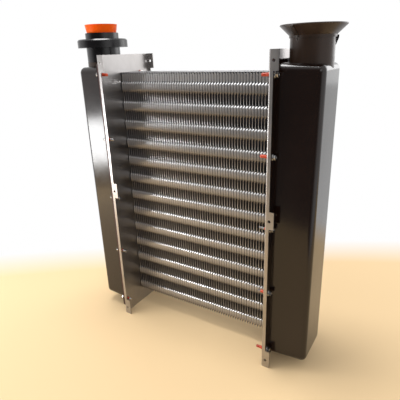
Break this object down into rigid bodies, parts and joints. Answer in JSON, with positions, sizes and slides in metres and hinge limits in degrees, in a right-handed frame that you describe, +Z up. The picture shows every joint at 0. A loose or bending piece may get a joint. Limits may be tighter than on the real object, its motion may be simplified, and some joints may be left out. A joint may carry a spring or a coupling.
{
  "type": "furnace heat exchanger",
  "caption": "Upright furnace heat exchanger: finned core between two folded plates, dark header tanks, a flared pipe and an orange plug.",
  "frame": {"origin": "on the ground, midway between the two tube plates and midway through their depth", "axes": "+Z up; +X from the left header to the right header with the flared pipe; -Y is the front, where the screws' red points show"},
  "size_m": [0.4394, 0.126, 0.522],
  "materials": {
    "plates": "satin",
    "tubes": "satin",
    "fins": "satin",
    "gaskets": "matte",
    "headers": "gloss",
    "pipes": "satin",
    "flare": "satin",
    "ring": "satin",
    "plug": "satin",
    "clip": "satin",
    "fasteners": "satin",
    "sealant": "gloss"
  },
  "bodies": {
    "root": {"left_tube_plate": "plates", "right_tube_plate": "plates", "tubes": "tubes", "fins": "fins", "left_gasket": "gaskets", "right_gasket": "gaskets", "left_header": "headers", "right_header": "headers", "left_socket": "pipes", "right_socket": "pipes", "left_pipe": "pipes", "right_pipe": "pipes", "right_flare": "flare", "flare_lap": "flare", "lap_rivets": "fasteners", "flare_clip": "clip", "left_ring": "ring", "plug": "plug", "left_front_screws": "fasteners", "left_rear_screws": "fasteners", "right_front_screws": "fasteners", "right_rear_screws": "fasteners", "left_front_sealant": "sealant", "left_rear_sealant": "sealant", "right_front_sealant": "sealant", "right_rear_sealant": "sealant"}
  },
  "joints": []
}
